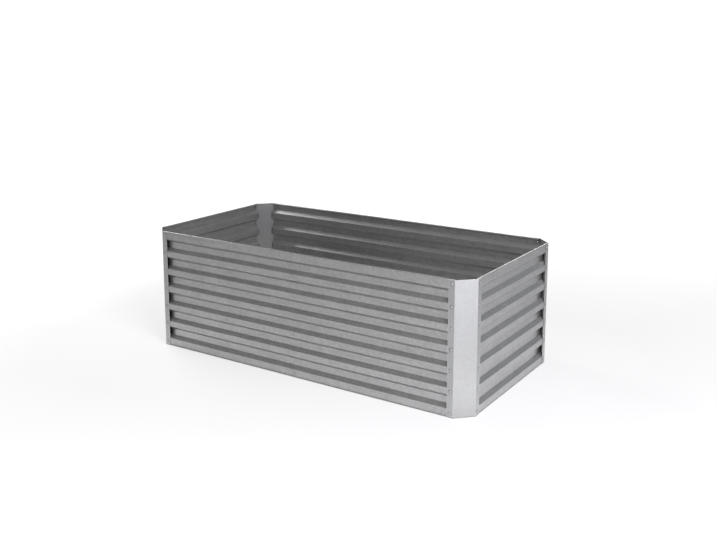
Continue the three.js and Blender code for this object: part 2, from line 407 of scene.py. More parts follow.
wall_reach = HALF_LENGTH - POST_CUT - WALL_END_GAP
end_reach = HALF_WIDTH - POST_CUT - WALL_END_GAP
long_bolt = HALF_LENGTH - flange_middle
end_bolt = HALF_WIDTH - flange_middle

end_sheet = ribbed_sheet("end_sheet", -end_reach, end_reach)
thicken(end_sheet, WALL_SHEET, WALL_EDGE)
drill(end_sheet, holes_at(-end_bolt, bolt_rows) + holes_at(end_bolt, bolt_rows))

outer_half = ribbed_sheet("outer_half", -SEAM_LAP / 2, wall_reach)
thicken(outer_half, WALL_SHEET, WALL_EDGE)
drill(outer_half, holes_at(long_bolt, bolt_rows) + holes_at(0, bolt_rows))
print("An end sheet has", len(end_sheet.data.polygons), "faces")

# %% [markdown]
# The two halves of a long wall lap in the middle.  The hidden one is sprung inwards a
# little, and its rim and foot are cut away at the lap so that it can nest behind the other.
# Two sheets in the same place would be easier, but they would flicker and could not be
# bolted together.

# %% The hidden half of a long wall
SEAT_GAP = 0.0003  # left between two pieces that touch
NOTCH_CLEARANCE = 0.001

seam_step = (WALL_SHEET + SEAT_GAP) * hypot(RIB_SLOPE, RIB_DEPTH) / RIB_SLOPE
lap_from = -SEAM_LAP / 2 - SEAT_GAP
spring_from = POST_REACH - HALF_LENGTH

inner_half = ribbed_sheet("inner_half", -wall_reach, SEAM_LAP / 2)
start_editing(inner_half)
for station in (spring_from, lap_from):
    pick_all()
    bpy.ops.mesh.bisect(plane_co=(station, 0, 0), plane_no=(1, 0, 0))
sprung = pick(inner_half, "VERT", lambda point: point.co.x > lap_from - SAME_PLACE)
bpy.ops.transform.translate(value=(0, seam_step, 0))
stop_editing()
thicken(inner_half, WALL_SHEET, WALL_EDGE)
drill(inner_half, holes_at(-long_bolt, bolt_rows) + holes_at(0, bolt_rows))
print(sprung, "points of the hidden half are sprung in by", round(seam_step * 1000, 2), "mm")

# %% Notch its rim and foot
for z in (0, HEIGHT):
    notch = fresh(
        "notch", bpy.ops.mesh.primitive_cube_add, size=1, location=(lap_from + SEAM_LAP, 0, z)
    )
    notch.scale = (2 * SEAM_LAP, 4 * RIM_WIDTH, 2 * (RIM_LIP + NOTCH_CLEARANCE))
    carve(inner_half, settle(notch))
print("The notched half has", len(inner_half.data.polygons), "faces")

# %% [markdown]
# Every wall frame is a quarter turn of the front one, so the three sheets are modelled once
# and the copies are turned into place.  Odd quarters are the two ends.

# %% Set the sheets round the bed
WALL_FACE = 0.0013  # a wall's crests, measured in from the flanges' faces


def set_in_wall(piece, name, quarter, inset):
    """A copy of a piece from a wall's own frame, at the wall on that quarter turn."""
    distance = (HALF_LENGTH if quarter % 2 else HALF_WIDTH) - inset
    turn = quarter * pi / 2
    place = (sin(turn) * distance, -cos(turn) * distance, 0)
    return copy_of(piece, name, place, (0, 0, turn))


walls = {}
for pattern, name, node, quarter in (
    (inner_half, "front_left_ribbed_sheet", "front_wall_left_half", 0),
    (outer_half, "front_right_ribbed_sheet", "front_wall_right_half", 0),
    (inner_half, "back_right_ribbed_sheet", "back_wall_right_half", 2),
    (outer_half, "back_left_ribbed_sheet", "back_wall_left_half", 2),
    (end_sheet, "right_end_ribbed_sheet", "right_end_wall", 1),
    (end_sheet, "left_end_ribbed_sheet", "left_end_wall", 3),
):
    wall = set_in_wall(pattern, name, quarter, WALL_FACE)
    smooth(wall)
    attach(wall, "root")
    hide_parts(node)
    walls[node] = wall
discard(inner_half, outer_half, end_sheet)
print("Walls:", ", ".join(walls))

# %% [markdown]
# ## Corner posts
#
# A post is one sheet with two folds: a flange, the wide slanting face and another flange.
# A box with a bevelled corner would look like it from outside, but it would be solid.  So
# the post is drawn in plan as the folder makes it: one flange as a plane, and the slanting
# face and the second flange extruded from its edge.

# %% Fold a corner post
POST_SHEET = 0.001
POST_EDGE = 0.00015
POST_BEND = 0.004
POST_FOLD = pi / 4  # the turn from a flange to the slanting face

post = standing_sheet("post", POST_CUT, POST_REACH)
start_editing(post)
pick(post, "EDGE", lambda edge: lies_at(edge, "x", POST_CUT))
extrude(-POST_CUT, POST_CUT, 0)
extrude(0, POST_REACH - POST_CUT, 0)
pick(post, "EDGE", lambda edge: edge.is_manifold)
round_picked(POST_BEND, POST_FOLD, segments=6)
stop_editing()
thicken(post, POST_SHEET, POST_EDGE)
drill(post, holes_at(flange_middle, bolt_rows))
drill(post, [(0, flange_middle, z) for z in bolt_rows], along="X")
print("A post has", len(post.data.polygons), "faces")

# %% Set the posts at the corners
corners = {
    "corner_post_front_left": (-HALF_LENGTH, -HALF_WIDTH),
    "corner_post_front_right": (HALF_LENGTH, -HALF_WIDTH),
    "corner_post_back_right": (HALF_LENGTH, HALF_WIDTH),
    "corner_post_back_left": (-HALF_LENGTH, HALF_WIDTH),
}
posts = {}
for quarter, (node, (x, y)) in enumerate(corners.items()):
    corner_post = copy_of(post, "folded_" + node, (x, y, 0), (0, 0, quarter * pi / 2))
    smooth(corner_post)
    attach(corner_post, "root")
    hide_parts(node)
    posts[node] = corner_post
discard(post)
print("Posts:", ", ".join(posts))

# %% [markdown]
# ## Bolts and nuts
#
# The bolts have low domed heads with a cross recess and pass through to six-sided nuts
# inside the bed.  Turned shapes are made from a disc that is extruded ring by ring, which
# is what a lathe profile is.  Spinning an outline would do as well, but it leaves a seam
# and a pole to close.

# %% Turned shapes
def turned(name, sides, rings):
    """A closed piece along +Y through rings of (radius, y)."""
    piece = fresh(
        name, bpy.ops.mesh.primitive_circle_add, vertices=sides, radius=rings[0][0],
        fill_type="NGON", location=(0, rings[0][1], 0), rotation=(-pi / 2, 0, 0),
    )
    settle(piece)
    start_editing(piece)
    pick_all()
    for (before, low), (radius, y) in zip(rings, rings[1:]):
        extrude(0, y - low, 0)
        grow = radius / before
        bpy.ops.transform.resize(value=(grow, 1, grow), center_override=(0, y, 0))
    pick_all()
    bpy.ops.mesh.normals_make_consistent(inside=False)
    stop_editing()
    return piece


# %% [markdown]
# Y = 0 is the face under a bolt's head, and the shank points to +Y.  Only the last few
# turns of thread stand out of the nut, so only they are modelled, as plain ridges.

# %% Turn one bolt
BOLT_RADIUS = 0.003
BOLT_HEAD = 0.0036
THREAD_ROOT = 0.0026
THREAD_PITCH = 0.001
THREAD_RIDGES = 4

bolt_low, bolt_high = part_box("bolt_front_right_top")
bolt_length = bolt_high.y - bolt_low.y
shank_end = bolt_length - BOLT_HEAD
head = [
    (0.0015, -BOLT_HEAD), (0.0032, -0.0033), (0.0047, -0.0026), (0.0057, -0.0016),
    (0.0060, -0.0007), (0.0059, -0.0001), (0.0056, 0.0), (BOLT_RADIUS, 0.0),
]
thread = []
for ridge in range(THREAD_RIDGES):
    y = shank_end - (THREAD_RIDGES + 0.5) * THREAD_PITCH + ridge * THREAD_PITCH
    thread += [(BOLT_RADIUS, y), (THREAD_ROOT, y + THREAD_PITCH / 2)]
tip = [(0.0029, shank_end - 0.0004), (0.0022, shank_end)]
bolt = turned("bolt", 16, head + thread + tip)
print("A bolt is", round(bolt_length, 4), "m long")

# %% [markdown]
# The recess is the print of a driver's tip: two crossed blades that narrow downwards and a
# round core.  The tip is built first and then cut out of the head.

# %% Cut the cross recess
RECESS_LENGTH = 0.0044
RECESS_WIDTH = 0.0010
RECESS_TOP = -0.0050  # over the head, so that the recess is open
RECESS_FLOOR = -0.0018
RECESS_TAPER = 0.6
CORE_TOP = 0.0009
CORE_FLOOR = 0.0006
CORE_LIFT = 0.0001

blades = []
for turn in (0, pi / 2):
    blade = fresh(
        "blade", bpy.ops.mesh.primitive_cube_add, size=1,
        location=(0, (RECESS_TOP + RECESS_FLOOR) / 2, 0), rotation=(0, turn, 0),
    )
    blade.scale = (RECESS_LENGTH, RECESS_FLOOR - RECESS_TOP, RECESS_WIDTH)
    blades.append(settle(blade))
recess = joined("recess", blades)
start_editing(recess)
pick(recess, "VERT", lambda point: near(point.co.y, RECESS_FLOOR))
bpy.ops.transform.resize(
    value=(RECESS_TAPER, 1, RECESS_TAPER), center_override=(0, RECESS_FLOOR, 0)
)
stop_editing()
core = turned("core", 8, [(CORE_TOP, RECESS_TOP), (CORE_FLOOR, RECESS_FLOOR - CORE_LIFT)])
finish_with(
    recess, "BOOLEAN", operation="UNION", object=core, use_self=True, solver="EXACT"
)
discard(core)
carve(bolt, recess)
smooth(bolt, 40)
print("With its recess a bolt has", len(bolt.data.polygons), "faces")

# %% [markdown]
# A nut is cut from six-sided bar, and its corners are turned off at both ends.  Where a
# cone meets the flats it leaves curved edges that a bevel can't give, so the prism is
# trimmed by a turned body in the same way.

# %% One nut
NUT_FLATS = 0.010
NUT_HEIGHT = 0.005
NUT_BORE = 0.0031
NUT_FLARE = 0.0005
CHAMFER_SHARE = 0.16  # of the nut's height, at each end
CHAMFER_SPREAD = 1.04  # the trimming body's girth against the nut's corners
OVERRUN = 0.00001  # a trimming body that ends flush leaves slivers
PAST_THE_FACE = 0.001  # how far a bore's cutter stands out


def hex_nut(name, height):
    """A six-sided nut from y = 0 to y = height, with rounded corners and a flared bore."""
    corner = NUT_FLATS / sqrt(3)
    nut = turned(name, 6, [(corner, 0), (corner, height)])
    girth = corner * CHAMFER_SPREAD
    carve(nut, turned("trim", 24, [
        (NUT_FLATS / 2, -OVERRUN), (girth, height * CHAMFER_SHARE),
        (girth, height * (1 - CHAMFER_SHARE)), (NUT_FLATS / 2, height + OVERRUN),
    ]), "INTERSECT")
    flare = NUT_BORE + NUT_FLARE
    mouth = flare + PAST_THE_FACE
    carve(nut, turned("bore", 16, [
        (mouth, -PAST_THE_FACE), (flare, 0), (NUT_BORE, NUT_FLARE),
        (NUT_BORE, height - NUT_FLARE), (flare, height), (mouth, height + PAST_THE_FACE),
    ]))
    return nut


nut = hex_nut("nut", NUT_HEIGHT)
smooth(nut, 30)
print("A nut has", len(nut.data.polygons), "faces")

# %% [markdown]
# Nobody drives every bolt to the same angle, so each copy is turned a little further than
# the one before.  One column of fasteners is one piece, as it is put in with one sheet.

# %% Columns of fasteners
TWIST = 1.3  # radians from one fastener to the next one up
TWIST_ALONG = 7.0  # radians for each metre along a wall


def column(pattern, x, y, rows):
    """Copies of a fastener up one line of a wall's own frame, joined to one piece."""
    copies = [
        copy_of(pattern, "copy", (x, y, z), (0, TWIST * count + TWIST_ALONG * x, 0))
        for count, z in enumerate(rows, start=1)
    ]
    return joined("column", copies)


def set_column(kind, pattern, side, place, quarter, x, y, rows):
    """One column of bolts or nuts at its wall, in place of its top and bottom nodes."""
    strip = column(pattern, x, y, rows)
    piece = set_in_wall(strip, f"{kind}s_{side}_{place}", quarter, inset=0)
    discard(strip)
    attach(piece, "root")
    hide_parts(*[f"{kind}_{side}_{place}_{row}" for row in ("bottom", "top")])
    return piece


# %% Bolt the bed together
seam_rows = [z for z in bolt_rows if z != rod_row]
nut_seat = WALL_FACE + WALL_SHEET + SEAT_GAP
seam_nut_seat = WALL_FACE + seam_step + WALL_SHEET + SEAT_GAP

fasteners = []
for quarter, side, ends in (
    (0, "front", ("left", "right")), (1, "right", ("front", "back")),
    (2, "back", ("right", "left")), (3, "left", ("back", "front")),
):
    reach = end_bolt if quarter % 2 else long_bolt
    lines = [(ends[0], -reach, 0, nut_seat, bolt_rows), (ends[1], reach, 0, nut_seat, bolt_rows)]
    if quarter % 2 == 0:
        lines.append(("seam", 0, WALL_FACE, seam_nut_seat, seam_rows))
    for place, x, face, back, rows in lines:
        for kind, pattern, y in (("bolt", bolt, face - SEAT_GAP), ("nut", nut, back)):
            fasteners.append(set_column(kind, pattern, side, place, quarter, x, y, rows))
discard(bolt, nut)
print(len(fasteners), "columns of bolts and nuts")

# %% [markdown]
# ## Tie rod
#
# Wet soil pushes the long walls apart, so a threaded rod ties them together at half
# height.  Here the thread is seen from above along its whole length, so rings or a bumpy
# finish won't do.  One tooth of its outline is wound up the rod by a Screw modifier.

# %% Thread the rod
ROD_PITCH = 0.0012
STEPS_IN_A_TURN = 9
THREAD_MERGE = 0.000001

rod_low, rod_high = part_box("tie_rod")
turns = int((rod_high.y - rod_low.y) / ROD_PITCH)
rod = fresh(
    "threaded_tie_rod", bpy.ops.mesh.primitive_plane_add, size=ROD_PITCH,
    location=(BOLT_RADIUS - ROD_PITCH / 2, 0, ROD_PITCH / 2), rotation=(pi / 2, 0, 0),
)
settle(rod)
start_editing(rod)
bpy.ops.mesh.delete(type="ONLY_FACE")
pick(rod, "VERT", lambda point: not near(point.co.x, BOLT_RADIUS))
bpy.ops.mesh.delete(type="VERT")
pick_all()
bpy.ops.mesh.subdivide(number_cuts=1)
pick(rod, "VERT", lambda point: near(point.co.z, ROD_PITCH / 2))
bpy.ops.transform.translate(value=(THREAD_ROOT - BOLT_RADIUS, 0, 0))
stop_editing()
finish_with(
    rod, "SCREW", angle=2 * pi, screw_offset=ROD_PITCH, iterations=turns,
    steps=STEPS_IN_A_TURN, render_steps=STEPS_IN_A_TURN,
    use_merge_vertices=True, merge_threshold=THREAD_MERGE,
)
print("The thread has", turns, "turns")

# %% Close the rod's ends and lay it across the bed
start_editing(rod)
pick_all()
bpy.ops.mesh.remove_doubles(threshold=THREAD_MERGE)
pick(rod, "EDGE", lambda edge: edge.is_boundary)
bpy.ops.mesh.edge_face_add()
outward(rod)
rod.rotation_euler = (-pi / 2, 0, 0)
rod.location = (0, -turns * ROD_PITCH / 2, rod_row)
settle(rod)
bpy.ops.object.shade_smooth_by_angle(angle=radians(50))
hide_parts("tie_rod")
print("The rod has", len(rod.data.polygons), "faces")

# %% [markdown]
# Outside, a low cap nut closes each end of the rod, so that it looks like one more bolt of
# the seam.  Inside, a washer spreads the pull and a plain nut holds it.

# %% Cap nuts, washers and nuts of the rod
CAP_HEX = 0.0035
CAP_WALL = 0.0015
WASHER_RADIUS = 0.0090
WASHER_SHEET = 0.0012

cap_low, cap_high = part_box("tie_rod_cap_nut_front")
cap_height = cap_high.y - cap_low.y
cap = hex_nut("cap", CAP_HEX)
carve(cap, turned("dome", 24, [
    (0.0047, 0.0012), (0.0047, 0.0036), (0.0044, 0.0050), (0.0037, 0.0062),
    (0.0024, 0.0071), (0.0008, cap_height),
]), "UNION")
carve(cap, turned("bore", 16, [
    (HOLE_RADIUS, -PAST_THE_FACE), (HOLE_RADIUS, cap_height - CAP_WALL),
]))
smooth(cap, 30)

washer = turned("washer", 32, [
    (WASHER_RADIUS - 0.0003, 0), (WASHER_RADIUS, 0.0002),
    (WASHER_RADIUS, WASHER_SHEET - 0.0002), (WASHER_RADIUS - 0.0003, WASHER_SHEET),
])
carve(washer, turned("bore", 20, [
    (HOLE_RADIUS, -PAST_THE_FACE), (HOLE_RADIUS, WASHER_SHEET + PAST_THE_FACE),
]))
smooth(washer, 30)

lock = hex_nut("lock", NUT_HEIGHT)
smooth(lock, 30)
print("A cap nut is", round(cap_height, 4), "m high")

# %% Set them on the rod
FACING_OUT = (pi, 0.4, 0)
FACING_IN = (0, 0.9, 0)

rod_parts = [rod]
for side, quarter in (("front", 0), ("back", 2)):
    for pattern, name, y, turn in (
        (cap, "tie_rod_cap_nut", WALL_FACE - SEAT_GAP, FACING_OUT),
        (washer, "tie_rod_washer", seam_nut_seat, FACING_IN),
        (lock, "tie_rod_nut", seam_nut_seat + WASHER_SHEET + SEAT_GAP, FACING_IN),
    ):
        single = copy_of(pattern, "single", (0, y, rod_row), turn)
        piece = set_in_wall(single, f"{name}_{side}_turned", quarter, inset=0)
        discard(single)
        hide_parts(f"{name}_{side}")
        rod_parts.append(piece)
discard(cap, washer, lock)
for piece in rod_parts:
    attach(piece, "root")
print(len(rod_parts), "pieces on the tie rod")

# %% [markdown]
# ## Effects shared by the finishes
#
# Each effect is a node group with named sockets that puts out a mask or a height, so every
# material can use it in its own measure.  All of them read Object coordinates, which are
# metres here because the pieces sit at the origin.  Pictures of metal would need a seam
# somewhere; noise has none and stays sharp close to.


# %% Helpers for node trees
def feed(tree, socket, value):
    """Gives an input socket a number or a colour, or links another socket to it."""
    if isinstance(value, bpy.types.NodeSocket):
        tree.links.new(value, socket)
    else:
        socket.default_value = value


def add_node(tree, kind, settings=None, **sockets):
    """A node with its settings and what its named input sockets are fed."""
    node = tree.nodes.new(kind)
    for setting, value in (settings or {}).items():
        setattr(node, setting, value)
    for label, value in sockets.items():
        feed(tree, node.inputs[label.replace("_", " ")], value)
    return node


def maths(tree, operation, *values, clamp=False):
    """One step of arithmetic with numbers or sockets."""
    node = add_node(tree, "ShaderNodeMath", {"operation": operation, "use_clamp": clamp})
    for socket, value in zip(node.inputs, values):
        feed(tree, socket, value)
    return node.outputs["Value"]


def vector_maths(tree, operation, *values):
    """The same with vectors; a dot product and a distance are plain numbers."""
    node = add_node(tree, "ShaderNodeVectorMath", {"operation": operation})
    for socket, value in zip(node.inputs, values):
        feed(tree, socket, value)
    return node.outputs["Value" if operation in ("DOT_PRODUCT", "DISTANCE") else "Vector"]


def ranged(tree, value, low, high, to_low, to_high):
    """A value between low and high, brought to the range between to_low and to_high."""
    node = add_node(
        tree, "ShaderNodeMapRange", {"clamp": True}, Value=value,
        From_Min=low, From_Max=high, To_Min=to_low, To_Max=to_high,
    )
    return node.outputs["Result"]


def noise(tree, vector, scale, detail, roughness=0.5):
    """Noise between 0 and 1; more detail lays finer noise over the coarse one."""
    node = add_node(
        tree, "ShaderNodeTexNoise", Vector=vector, Scale=scale, Detail=detail,
        Roughness=roughness,
    )
    return node.outputs["Fac"]


# %% Helpers for node groups
ORIGIN = (0.0, 0.0, 0.0)


def new_group(name, inputs, outputs):
    """A group, the sockets it is given and the sockets of its result.  Inputs are labels
    with a number or a vector each, and every output is a number."""
    group = bpy.data.node_groups.new(name, "ShaderNodeTree")
    for label, value in inputs.items():
        kind = "NodeSocketFloat" if isinstance(value, float) else "NodeSocketVector"
        socket = group.interface.new_socket(label, in_out="INPUT", socket_type=kind)
        socket.default_value = value
    for label in outputs:
        group.interface.new_socket(label, in_out="OUTPUT", socket_type="NodeSocketFloat")
    given = add_node(group, "NodeGroupInput").outputs
    result = add_node(group, "NodeGroupOutput").inputs
    return group, given, result


def use_group(tree, group, **sockets):
    """Places a group in a material and returns its outputs."""
    return add_node(tree, "ShaderNodeGroup", {"node_tree": group}, **sockets).outputs


# %% [markdown]
# The coating is sprayed on as powder and melts to a faintly pebbled skin.  Fine noise makes
# its height, and a coarser one the soft clouds in its shade.

# %% Powder coat
coat_grain, given, result = new_group(
    "powder_coat", {"Vector": ORIGIN, "Grain": 0.0012, "Cloud": 0.08}, ["Height", "Cloud"]
)
grains = maths(coat_grain, "DIVIDE", 1.0, given["Grain"])
clouds = maths(coat_grain, "DIVIDE", 1.0, given["Cloud"])
feed(coat_grain, result["Height"], noise(coat_grain, given["Vector"], grains, 2.0))
feed(coat_grain, result["Cloud"], noise(coat_grain, given["Vector"], clouds, 4.0, 0.6))
print("Group", coat_grain.name, "puts out a height and soft clouds")

# %% [markdown]
# Sheet is rolled, and the rolls leave faint lines along it and long shallow waves that only
# show in a reflection.  Both are noise, stretched along the rolling direction by
# multiplying the coordinates across it.

# %% Rolling lines
ACROSS_THE_HEIGHT = (1.5, 1.5, 260.0)
UP_THE_HEIGHT = (260.0, 260.0, 1.5)

rolled_sheet, given, result = new_group(
    "rolled_sheet",
    {"Vector": ORIGIN, "Lines": ACROSS_THE_HEIGHT, "Waves": (3.0, 3.0, 7.0)},
    ["Lines", "Waves"],
)
for label, detail in (("Lines", 3.0), ("Waves", 1.0)):
    stretched = vector_maths(rolled_sheet, "MULTIPLY", given["Vector"], given[label])
    feed(rolled_sheet, result[label], noise(rolled_sheet, stretched, 1.0, detail))
print("Group", rolled_sheet.name, "puts out lines and waves")

# %% [markdown]
# Zinc freezes on the steel in flat crystals, the spangle of galvanised sheet, and each one
# mirrors a little differently.  Voronoi cells are such crystals: every cell has one random
# shade.  Noise bends their borders first, because real ones are not straight.

# %% Spangle
BORDER_BEND = (0.005, 0.005, 0.005)

spangle, given, result = new_group("zinc_spangle", {"Vector": ORIGIN, "Size": 0.008}, ["Shade"])
wobble = add_node(
    spangle, "ShaderNodeTexNoise", Vector=given["Vector"], Scale=160.0, Detail=2.0
)
shift = vector_maths(spangle, "MULTIPLY", wobble.outputs["Color"], BORDER_BEND)
crystals = add_node(
    spangle, "ShaderNodeTexVoronoi", Vector=vector_maths(spangle, "ADD", given["Vector"], shift),
    Scale=maths(spangle, "DIVIDE", 1.0, given["Size"]),
)
shades = add_node(spangle, "ShaderNodeSeparateColor", Color=crystals.outputs["Color"])
feed(spangle, result["Shade"], shades.outputs["Red"])
print("Group", spangle.name, "puts out one shade for each crystal")

# %% [markdown]
# Cut edges and corners lose their coating first.  The Bevel node gives the normal that a
# rounded edge would have; where it differs from the real one, there is an edge.  Noise
# breaks the wear up, and a strong gain makes the worn spots clear.  Made wide and strong,
# the same mask also lays a painted highlight along rounded folds.

# %% Edge wear and painted highlight
WEAR_GAIN = 8.0

edge_wear_and_highlight, given, result = new_group(
    "edge_wear_and_highlight", {"Vector": ORIGIN, "Width": 0.0008, "Amount": 1.0}, ["Mask"]
)
rounded = add_node(edge_wear_and_highlight, "ShaderNodeBevel", {"samples": 4}, Radius=given["Width"])
surface = add_node(edge_wear_and_highlight, "ShaderNodeNewGeometry")
agree = vector_maths(
    edge_wear_and_highlight, "DOT_PRODUCT", rounded.outputs["Normal"], surface.outputs["Normal"]
)
at_edges = maths(edge_wear_and_highlight, "SUBTRACT", 1.0, agree)
strength = maths(edge_wear_and_highlight, "MULTIPLY", at_edges, given["Amount"])
patches = noise(edge_wear_and_highlight, given["Vector"], 90.0, 3.0)
broken = maths(edge_wear_and_highlight, "MULTIPLY", strength, patches)
feed(edge_wear_and_highlight, result["Mask"], maths(edge_wear_and_highlight, "MULTIPLY", broken, WEAR_GAIN, clamp=True))
print("Group", edge_wear_and_highlight.name, "puts out a mask of worn edges")

# %% [markdown]
# A bed outdoors gathers dust on what faces up, and rain splashes its foot.  The mask is
# made of how far the surface looks up, its height over the ground, and noise.

# %% Settled dust
FOOT_DUST = 0.6  # as much as on a surface that looks this far up

settled_dust, given, result = new_group(
    "settled_dust", {"Vector": ORIGIN, "Splash height": 0.06, "Amount": 1.0}, ["Mask"]
)
surface = add_node(settled_dust, "ShaderNodeNewGeometry")
facing = add_node(settled_dust, "ShaderNodeSeparateXYZ", Vector=surface.outputs["Normal"])
place = add_node(settled_dust, "ShaderNodeSeparateXYZ", Vector=given["Vector"])
upward = maths(settled_dust, "MAXIMUM", facing.outputs["Z"], 0.0)
splash = ranged(settled_dust, place.outputs["Z"], 0.0, given["Splash height"], FOOT_DUST, 0.0)
gathered = maths(settled_dust, "ADD", upward, splash)
speckle = noise(settled_dust, given["Vector"], 45.0, 5.0, 0.65)
uneven = maths(settled_dust, "MULTIPLY", gathered, speckle)
feed(settled_dust, result["Mask"], maths(settled_dust, "MULTIPLY", uneven, given["Amount"]))
print("Group", settled_dust.name, "puts out a mask of dust")

# %% [markdown]
# Behind the flanges, deep in the grooves and close round a bolt head the coat is darkened
# as painted shade.  The Ambient Occlusion node gives the share of its surroundings that a
# point sees; where that is small, there is a crevice, and the mask is strong.

# %% Painted crevice shade
painted_crevice_shade, given, result = new_group(
    "painted_crevice_shade", {"Reach": 0.03, "Open": 0.6, "Closed": 0.3, "Amount": 0.9}, ["Mask"]
)
seen = add_node(
    painted_crevice_shade, "ShaderNodeAmbientOcclusion", {"samples": 8}, Distance=given["Reach"]
)
sheltered = ranged(
    painted_crevice_shade, seen.outputs["AO"], given["Closed"], given["Open"], given["Amount"], 0.0
)
feed(painted_crevice_shade, result["Mask"], sheltered)
print("Group", painted_crevice_shade.name, "puts out a mask of dirt in crevices")

# %% [markdown]
# ## Finishes
#
# Walls and posts are zinc-coated sheet under a thin satin grey coating.  The coating holds
# metal flake, so the shader is partly metallic: flats look quite dark where nothing bright
# is mirrored, and light up where a lamp is.  The zinc's crystals, the rolling lines and
# soft clouds shift its shade.  Worn edges, which on the posts' folds are mostly a painted
# highlight, and dust lie over it, and painted shade darkens its crevices.

# %% Helpers for materials
NOISE_LOW = 0.3
NOISE_HIGH = 0.7
COLOUR_SOCKETS = (6, 7, 2)
NUMBER_SOCKETS = (2, 3, 0)


def new_material(name):
    """A material, its tree, its Principled shader and its Object coordinates."""
    material = bpy.data.materials.new(name)
    material.use_nodes = True
    tree = material.node_tree
    shader = tree.nodes["Principled BSDF"]
    where = add_node(tree, "ShaderNodeTexCoord").outputs["Object"]
    return material, tree, shader, where


def mixed(tree, kind, sockets, factor, first, second):
    """A blend of two by a factor, through the sockets that the Mix node has for its kind."""
    mix = add_node(tree, "ShaderNodeMix", {"data_type": kind})
    first_socket, second_socket, result_socket = sockets
    feed(tree, mix.inputs[0], factor)
    feed(tree, mix.inputs[first_socket], first)
    feed(tree, mix.inputs[second_socket], second)
    return mix.outputs[result_socket]


def mixed_colours(tree, factor, first, second):
    """A colour between two, each a colour or a socket."""
    return mixed(tree, "RGBA", COLOUR_SOCKETS, factor, first, second)


def spread(tree, value):
    """Noise seldom leaves its middle range; this spreads it from 0 to 1."""
    return ranged(tree, value, NOISE_LOW, NOISE_HIGH, 0.0, 1.0)


def weighted(tree, *shares):
    """The sum of sockets, each times its share."""
    total = 0.0
    for socket, share in shares:
        total = maths(tree, "MULTIPLY_ADD", socket, share, total)
    return total


def bump(tree, height, depth, **under):
    """A normal with a height pressed into it, on top of another Normal if that is given."""
    node = add_node(
        tree, "ShaderNodeBump", Strength=1.0, Distance=depth, Height=height, **under
    )
    return node.outputs["Normal"]


def finish_pieces(pieces, material):
    """Gives each piece that material and no other."""
    for piece in pieces:
        piece.data.materials.clear()
        piece.data.materials.append(material)
    print(material.name, "on", len(pieces), "pieces")


# %% Coated sheet steel
GREY_DUST = (0.50, 0.48, 0.45, 1.0)
WORN_ZINC_AND_HIGHLIGHT = (0.62, 0.63, 0.65, 1.0)
# The dark colour of the painted shade in crevices.
CREVICE_SHADE_COLOUR = (0.035, 0.032, 0.030, 1.0)
FLAKE_SHARE = 0.85  # how metallic the coating is
WAVE_DEPTH = 0.0012
PEBBLE_DEPTH = 0.000012


def coated_steel(name, dark, light, lines, rough, wear_and_highlight, crevice_shading):
    """Satin coating over sheet that was rolled along the long axis of the lines."""
    material, tree, shader, where = new_material(name)
    powder = use_group(tree, coat_grain, Vector=where, Grain=0.0009, Cloud=0.11)
    rolled = use_group(tree, rolled_sheet, Vector=where, Lines=lines)
    zinc = use_group(tree, spangle, Vector=where, Size=0.009)
    worn_and_highlit = use_group(tree, edge_wear_and_highlight, Vector=where, **wear_and_highlight)
    dust = use_group(tree, settled_dust, Vector=where, Amount=0.16)
    crevice_shade = use_group(tree, painted_crevice_shade, **crevice_shading)

    clouds = spread(tree, powder["Cloud"])
    streaks = spread(tree, rolled["Lines"])
    shade = weighted(tree, (clouds, 0.25), (streaks, 0.30), (zinc["Shade"], 0.45))
    coat = mixed_colours(tree, shade, dark, light)
    # Bare zinc on worn edges; on the posts' folds the same light colour is a painted highlight.
    coat = mixed_colours(tree, worn_and_highlit["Mask"], coat, WORN_ZINC_AND_HIGHLIGHT)
    coat = mixed_colours(tree, dust["Mask"], coat, GREY_DUST)
    # Painted shade: the coat turns dark where a point sees little of its surroundings.
    coat = mixed_colours(tree, crevice_shade["Mask"], coat, CREVICE_SHADE_COLOUR)
    feed(tree, shader.inputs["Base Color"], coat)

    satin = ranged(tree, shade, 0.0, 1.0, rough - 0.03, rough + 0.04)
    dulled = maths(tree, "MULTIPLY_ADD", dust["Mask"], 0.5, satin)
    feed(tree, shader.inputs["Roughness"], dulled)
    shader.inputs["Metallic"].default_value = FLAKE_SHARE

    waves = bump(tree, rolled["Waves"], WAVE_DEPTH)
    feed(tree, shader.inputs["Normal"], bump(tree, powder["Height"], PEBBLE_DEPTH, Normal=waves))
    return material


# %% [markdown]
# The walls vary more than the posts do, because a wide thin sheet shows its zinc more.
# Painted shade lies deep in the walls' grooves and behind the flanges; on the posts it only
# rings the bolt heads.

# %% Coat the walls and the posts
wall_coat = coated_steel(
    "ribbed_wall_coating",
    dark=(0.295, 0.293, 0.292, 1.0), light=(0.446, 0.444, 0.443, 1.0),
    lines=ACROSS_THE_HEIGHT, rough=0.36, wear_and_highlight={"Width": 0.0007, "Amount": 0.8},
    crevice_shading={"Reach": 0.03, "Closed": 0.38, "Open": 0.72},
)
post_coat = coated_steel(
    "corner_post_coating",
    dark=(0.341, 0.341, 0.342, 1.0), light=(0.389, 0.390, 0.391, 1.0),
    # On the posts the wide, strong edge wear is mostly a painted highlight along the folds.
    lines=UP_THE_HEIGHT, rough=0.34, wear_and_highlight={"Width": 0.004, "Amount": 3.0},
    crevice_shading={"Reach": 0.005, "Closed": 0.55, "Open": 0.95},
)
finish_pieces(walls.values(), wall_coat)
finish_pieces(posts.values(), post_coat)

# %% [markdown]
# The fasteners are bright zinc-plated steel: fully metallic, a little cloudy, brighter on
# their worn edges and greyer where dust lies.

# %% Zinc-plated fasteners
DULL_ZINC = (0.355, 0.358, 0.365, 1.0)
BRIGHT_ZINC = (0.455, 0.455, 0.452, 1.0)
RUBBED_ZINC = (0.55, 0.55, 0.56, 1.0)
PLATING_DEPTH = 0.000008

